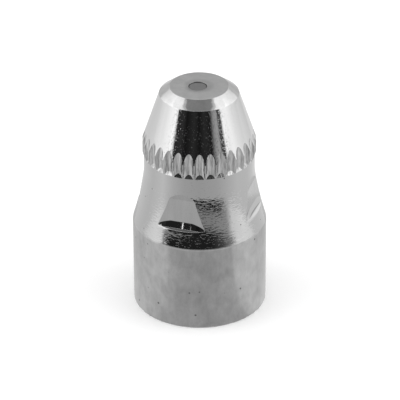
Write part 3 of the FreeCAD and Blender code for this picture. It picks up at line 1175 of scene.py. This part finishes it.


# Rings of glowing cards round the part, which only mirror images see, from the paper up to
# overhead: upright section as (mm from the axis, mm over the floor), then brightness by degrees to
# the right of the camera, where 1 is white. The brightness is painted light and shade.
RINGS = (
    # Painted shade and light on the paper: these glowing floor cards are darker in front, for the
    # part's own shadow and the flags' shade, and paler at the sides, for pools of softbox light.
    Ring("painted_floor_at_seat", ((6.03, 0.05), (24, 0.05)), (
        (-179, 0.62), (-130, 0.63), (-90, 0.68), (-68, 0.7), (-47, 0.65), (-43, 0.56), (-30, 0.49),
        (0, 0.44), (30, 0.47), (47, 0.54), (51, 0.68), (62, 0.76), (80, 0.75), (100, 0.7),
        (126, 0.66), (179, 0.62))),
    Ring("painted_floor_near", ((24, 0.05), (52, 0.05)), (
        (-179, 0.7), (-125, 0.8), (-102, 0.76), (-74, 0.86), (-50, 0.66), (-29, 0.56), (0, 0.52),
        (32, 0.56), (54, 0.67), (78, 0.8), (107, 0.8), (140, 0.88), (179, 0.7))),
    Ring("painted_floor_dark", ((52, 0.05), (66, 0.05)), (
        (-179, 0.7), (-125, 0.85), (-102, 0.95), (-76, 1.1), (-66, 0.9), (-56, 0.6), (-28, 0.5),
        (-14, 0.01), (30, 0.01), (38, 0.08), (48, 0.4), (58, 0.95), (78, 1.15), (107, 0.9),
        (140, 0.9), (179, 0.7))),
    Ring("painted_floor_grey", ((66, 0.05), (150, 0.05)), (
        (-179, 0.7), (-138, 0.8), (-100, 0.95), (-76, 1.1), (-66, 1.0), (-60, 0.36), (20, 0.32),
        (48, 0.42), (58, 0.95), (78, 1.1), (107, 1.0), (140, 0.75), (179, 0.7))),
    Ring("painted_floor_far", ((150, 0.05), (440, 0.05)), (
        (-179, 0.05), (-174, 0.05), (-170, 0.6), (-158, 0.6), (-138, 0.72), (-102, 1.05),
        (-78, 1.3), (-66, 1.2), (-59, 0.02), (20, 0.02), (38, 0.1), (57, 0.4), (66, 1.2),
        (79, 1.3), (93, 1.05), (126, 0.75), (158, 0.6), (170, 0.6), (174, 0.05), (179, 0.05))),
    # Painted reflections: the bright bands on these glowing cards stand for the softboxes, and the
    # dark ones for black flags.
    Ring("wall_foot", ((440, 0), (440, 38)), (
        (-179, 0.05), (-174, 0.05), (-170, 0.6), (-158, 0.6), (-135, 0.7), (-110, 1.0), (-90, 1.1),
        (-75, 1.3), (-62, 1.4), (-55, 0.02), (20, 0.02), (38, 0.08), (55, 0.3), (62, 1.2),
        (75, 1.3), (93, 1.0), (110, 1.0), (135, 0.7), (158, 0.6), (170, 0.6), (174, 0.05),
        (179, 0.05))),
    Ring("wall_low", ((440, 38), (440, 178)), (
        (-179, 0.05), (-174, 0.05), (-170, 0.6), (-158, 0.6), (-135, 0.7), (-110, 1.0), (-90, 1.1),
        (-75, 1.3), (-61, 1.45), (-57, 1.1), (-54, 0.03), (-40, 0.035), (-30, 0.01), (-12, 0.03),
        (0, 0.01), (12, 0.03), (27, 0.015), (36, 0.38), (44, 0.46), (47, 0.07), (54, 0.08),
        (58, 1.35), (75, 1.3), (93, 1.0), (110, 1.0), (135, 0.7), (158, 0.6), (170, 0.6),
        (174, 0.05), (179, 0.05))),
    Ring("wall_high", ((440, 178), (400, 480)), (
        (-179, 1.3), (-162, 1.2), (-150, 0.8), (-126, 1.2), (-90, 1.7), (-58, 1.7), (-52, 0.08),
        (48, 0.08), (54, 1.7), (90, 1.7), (126, 1.2), (150, 0.8), (162, 1.2), (179, 1.3))),
    Ring("canopy", ((400, 480), (235, 500)), (
        (-179, 1.2), (-90, 1.25), (0, 1.2), (90, 1.25), (179, 1.2))),
    Ring("overhead_rim", ((235, 500), (195, 500)), (
        (-179, 0.65), (0, 0.6), (179, 0.65))),
    Ring("overhead", ((195, 500), (1, 500)), (
        (-179, 0.3), (0, 0.26), (179, 0.3))),
)


# Painted glint: thin glowing strips that only mirror images see, placed where the flats' heels
# mirror them.
SLITS = (Slit("slit", -34.335, 0.15, 2.6), Slit("slit_beside", -34.05, 0.3, 0.7))
SOFTBOXES = (Softbox("softbox_left", -80.0), Softbox("softbox_right", 80.0))


@dataclass
class Studio:
    """Camera, floor, world, softboxes and the rings of cards, all placed about the camera."""

    azimuth: float = radians(18.4)
    elevation: float = radians(29.94)
    distance_mm: float = 248.6
    target_up_mm: float = 9.777
    target_side_mm: float = 0.045
    lens_mm: float = 249.6
    sensor_mm: float = 36.0
    roll: float = radians(-0.22)
    world_strength: float = 1.0
    floor_half_m: float = 4.0
    slit_height_mm: float = 60.0
    slit_away_mm: float = 430.0

    def way(self, azimuth: float, elevation: float = 0.0) -> Vector:
        """Unit vector from the part, turned from the camera's side by an azimuth to the right."""
        turn = self.azimuth + azimuth
        return Vector((sin(turn) * cos(elevation), -cos(turn) * cos(elevation), sin(elevation)))

    def stage(self, bm: bmesh.types.BMesh, name: str,
              finish: FloorFinish | PaintedCardGlow | PaintedGlintGlow, place: Matrix,
              mirrors_only: bool) -> None:
        """Turns a mesh in metres into an object of the studio, which isn't exported.

        Args:
            bm: The mesh, freed afterwards.
            name: Name of the object and its mesh.
            finish: What it is made of.
            place: Where it stands.
            mirrors_only: Whether it shows in mirror images alone, and casts no shadow.
        """
        mesh = bpy.data.meshes.new(name)
        bm.to_mesh(mesh)
        bm.free()
        mesh.materials.append(finish.build())
        made = bpy.data.objects.new(name, mesh)
        made.matrix_world = place
        bpy.context.scene.collection.objects.link(made)
        if mirrors_only:
            made.visible_camera = False
            made.visible_diffuse = False
            made.visible_shadow = False

    def add_camera(self) -> None:
        """Makes the camera at the photograph's viewing angle."""
        data = bpy.data.cameras.new("camera")
        data.sensor_width = self.sensor_mm
        data.lens = self.lens_mm
        data.clip_start = 0.01
        camera = bpy.data.objects.new("camera", data)
        bpy.context.scene.collection.objects.link(camera)
        target = self.way(pi / 2) * self.target_side_mm + Vector((0, 0, self.target_up_mm))
        away = self.way(0.0, self.elevation)
        camera.location = (target + away * self.distance_mm) * MM
        look = (-away).to_track_quat("-Z", "Y").to_matrix().to_4x4()
        camera.matrix_world = Matrix.Translation(camera.location) @ look \
            @ Matrix.Rotation(self.roll, 4, "Z")
        bpy.context.scene.camera = camera

    def add_floor(self) -> None:
        """Makes the pale floor."""
        bm = bmesh.new()
        bmesh.ops.create_grid(bm, x_segments=1, y_segments=1, size=self.floor_half_m)
        self.stage(bm, "floor", FloorFinish(), Matrix.Identity(4), mirrors_only=False)

    def add_world(self) -> None:
        """Makes an even white world."""
        world = bpy.data.worlds.new("white")
        world.use_nodes = True
        tree = world.node_tree
        tree.nodes.clear()
        glow = add_node(tree, "ShaderNodeBackground",
                        {"Color": srgb("#FFFFFF"), "Strength": self.world_strength})
        add_node(tree, "ShaderNodeOutputWorld", links={"Surface": glow.outputs["Background"]})
        bpy.context.scene.world = world

    def add_ring(self, ring: Ring) -> None:
        """Spins a ring's upright section into a ring of glowing cards, which paint light and shade
        into mirror images.

        Args:
            ring: Section and brightness of the ring.
        """
        bm = bmesh.new()
        verts = [bm.verts.new((-across * MM, 0.0, up * MM)) for across, up in ring.profile]
        edges = [bm.edges.new(pair) for pair in zip(verts, verts[1:])]
        bmesh.ops.spin(bm, geom=verts + edges, cent=(0, 0, 0), axis=(0, 0, 1), dvec=(0, 0, 0),
                       angle=2 * pi, steps=RING_STEPS, use_merge=True, use_duplicate=False,
                       use_normal_flip=False)
        self.stage(bm, ring.name, PaintedCardGlow(f"{ring.name}_face", ring.stops),
                   Matrix.Rotation(self.azimuth - pi / 2, 4, "Z"), mirrors_only=True)

    def add_slit(self, slit: Slit) -> None:
        """Makes a slit, upright on the floor and square to the part.

        Args:
            slit: Place, width and brightness of the slit.
        """
        bm = bmesh.new()
        bmesh.ops.create_grid(bm, x_segments=1, y_segments=1, size=0.5)
        bmesh.ops.scale(bm, verts=bm.verts, vec=(slit.width_mm * MM, self.slit_height_mm * MM, 1))
        bmesh.ops.rotate(bm, verts=bm.verts, cent=(0, 0, 0), matrix=Matrix.Rotation(pi / 2, 3, "X"))
        right = radians(slit.degrees_right)
        centre = self.way(right) * self.slit_away_mm + Vector((0, 0, self.slit_height_mm / 2))
        self.stage(bm, slit.name, PaintedGlintGlow(f"{slit.name}_face", slit.radiance),
                   Matrix.Translation(centre * MM) @ Matrix.Rotation(self.azimuth + right, 4, "Z"),
                   mirrors_only=True)

    def add_softbox(self, softbox: Softbox) -> None:
        """Makes a softbox that faces the part.

        Args:
            softbox: Place, size and power of the lamp.
        """
        lamp = bpy.data.lights.new(softbox.name, "AREA")
        lamp.size = softbox.size_mm * MM
        lamp.energy = softbox.watts
        box = bpy.data.objects.new(softbox.name, lamp)
        bpy.context.scene.collection.objects.link(box)
        away = self.way(radians(softbox.degrees_right), radians(softbox.degrees_up))
        box.matrix_world = Matrix.Translation(away * softbox.away_mm * MM) \
            @ away.to_track_quat("Z", "Y").to_matrix().to_4x4()
        box.visible_camera = False
        box.visible_glossy = False

    def build(self) -> None:
        """Makes everything round the part."""
        self.add_camera()
        self.add_floor()
        self.add_world()
        for softbox in SOFTBOXES:
            self.add_softbox(softbox)
        for ring in RINGS:
            self.add_ring(ring)
        for slit in SLITS:
            self.add_slit(slit)


# What each stretch's finish gives the eye, from the seat up.
FINISHES = {
    # Turned and handled: dull upright stains, a few pits, mirror edges that waver on long waves.
    Zone.BASE: PlateFinish("plate_on_base", roughness=0.07, grain_mm=0.9, grain_height_mm=0.022,
                           grain_squash=0.5, streak_mm=0.7, streak_depth=0.11, streak_squash=0.5,
                           stain_depth=0.06, pit_mm=0.12),
    # Turned in fine steps: dark mirror patches that fray into short strokes round the part.
    Zone.FLARE: PlateFinish("plate_on_flare", roughness=0.04, grain_mm=0.42,
                            grain_height_mm=0.005, grain_squash=3.2, speck_mm=0.30,
                            speck_height_mm=0.003, speck_from=0.62, pit_mm=0.08),
    # Milled: an even satin grey with the faintest upright marks.
    Zone.FLAT: PlateFinish("plate_on_flats", roughness=0.10, streak_mm=0.5, streak_depth=0.05),
    # Cut lengthwise by a form cutter: strong light and dark marks along each flute.
    Zone.FLUTE: PlateFinish("plate_on_flutes", roughness=0.07, grain_mm=0.12,
                            grain_height_mm=0.005, grain_squash=0.2, streak_mm=0.16,
                            streak_depth=0.50, speck_height_mm=0.006),
    # Turned and brightest: a clean black and white mirror, peppered with specks at its borders.
    Zone.NOSE: PlateFinish("plate_on_nose", "#D4D4D4", roughness=0.04, grain_height_mm=0.0015,
                           speck_height_mm=0.005),
    # As the nose, rubbed a little dull.
    Zone.CHAMFER: PlateFinish("plate_on_chamfer", "#D4D4D4", roughness=0.09,
                              grain_height_mm=0.0015, streak_mm=0.9, streak_depth=0.08),
    # Faced after plating: matt mid grey, darker in a disc round the pin.
    Zone.FACE: PlateFinish("plate_on_tip", "#969696", roughness=0.32, disc_mm=1.25, streak_mm=0.8,
                           streak_depth=0.08),
    # Thinly plated inside: a blurred grey.
    Zone.BORE: PlateFinish("plate_in_bore", roughness=0.25),
    # The cutter's short ramp at the foot of a flat: a true mirror.
    Zone.HEEL: PlateFinish("plate_on_heels", roughness=0.01, grain_height_mm=0.0),
}


def main() -> None:
    """Builds the electrode and the studio round it."""
    logging.basicConfig(level=logging.INFO, format="%(name)s: %(message)s")
    high = Vector(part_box(BODY_NODE)[1]) / MM
    pin_low, pin_high = (Vector(corner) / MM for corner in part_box(PIN_NODE))
    pin_centre = (pin_low + pin_high) / 2
    shank = Shank(base_radius=high.x)
    nose = Nose(tip_up=high.z, neck_radius=shank.neck_radius, pocket_across=pin_centre.xy.length,
                pocket_turn=atan2(-pin_centre.y, -pin_centre.x))
    body = ElectrodeBody(shank, nose, Bore(), FINISHES).build()
    log.info("body: %s", body.name)
    pin = HafniumPin(pin_low.z, pin_high.z, pin_centre).build()
    log.info("pin: %s", pin.name)
    Studio().build()
    bpy.context.scene.view_settings.view_transform = "Standard"


if __name__ == "__main__":
    main()
